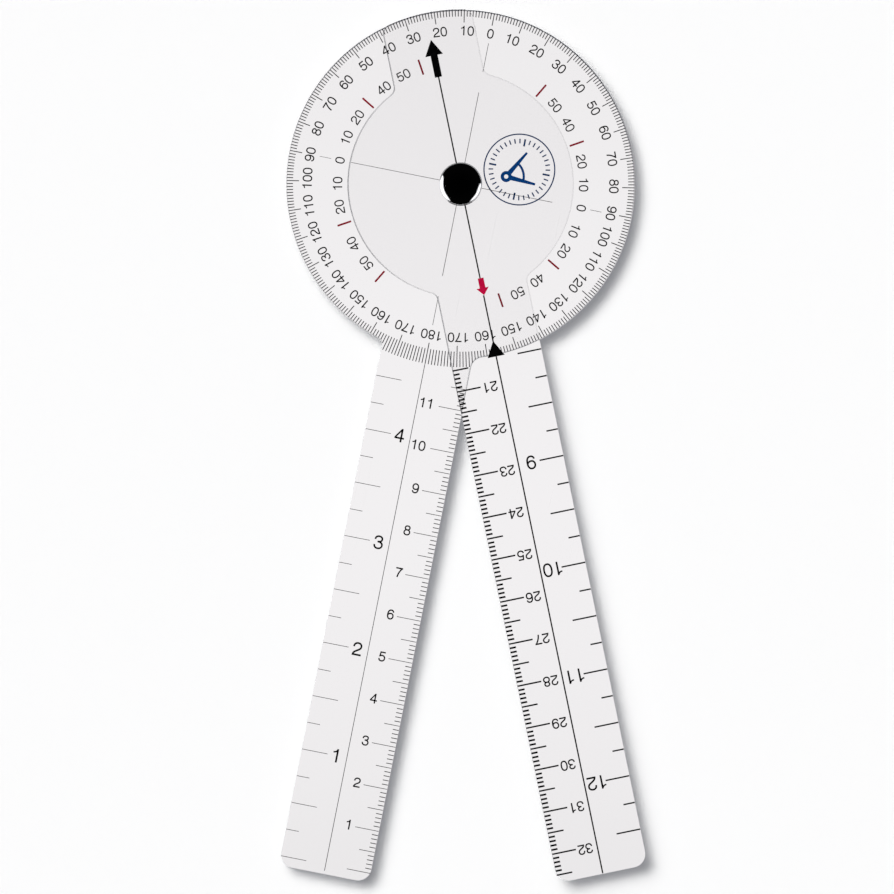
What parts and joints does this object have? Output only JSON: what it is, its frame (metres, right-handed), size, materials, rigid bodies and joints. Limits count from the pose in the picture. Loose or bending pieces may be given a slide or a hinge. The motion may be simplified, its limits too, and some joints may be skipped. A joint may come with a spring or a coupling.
{
  "type": "goniometer",
  "caption": "Flat two-arm joint-angle goniometer in clear sheet, with a printed protractor dial, ruler arms and a domed rivet pivot.",
  "frame": {"origin": "where the pivot axis meets the flat face of the rear rivet cap, the face the object rests on", "axes": "+Z along the pivot axis from the rear cap to the domed front cap; +Y from the pivot to the dial's 0 mark, so the fixed arm runs along -Y; +X to the right of the dial seen from the front"},
  "size_m": [0.1134, 0.2048, 0.0067],
  "materials": {
    "clear_sheet": "clear rigid PVC sheet, polished faces, die-cut edges",
    "chrome_plate": "bright nickel-chrome plate",
    "rivet_steel": "zinc plated",
    "nylon": "natural nylon",
    "ink_black": "screen-printed ink, satin",
    "ink_red": "screen-printed ink, satin",
    "ink_navy": "screen-printed ink, satin"
  },
  "bodies": {
    "dial": {"dial_arm": "clear_sheet", "pivot_washer": "nylon", "rear_washer": "nylon"},
    "arm": {"moving_arm": "clear_sheet"},
    "rivet": {"front_cap": "chrome_plate", "rear_cap": "chrome_plate", "rivet_post": "rivet_steel", "rivet_socket": "rivet_steel"}
  },
  "joints": [
    {"name": "arm_pivot", "type": "hinge", "parent": "dial", "child": "arm", "pos_m": [0, 0, 0], "axis": [0, 0, 1], "continuous": true},
    {"name": "rivet_spin", "type": "hinge", "parent": "dial", "child": "rivet", "pos_m": [0, 0, 0], "axis": [0, 0, 1], "continuous": true}
  ]
}
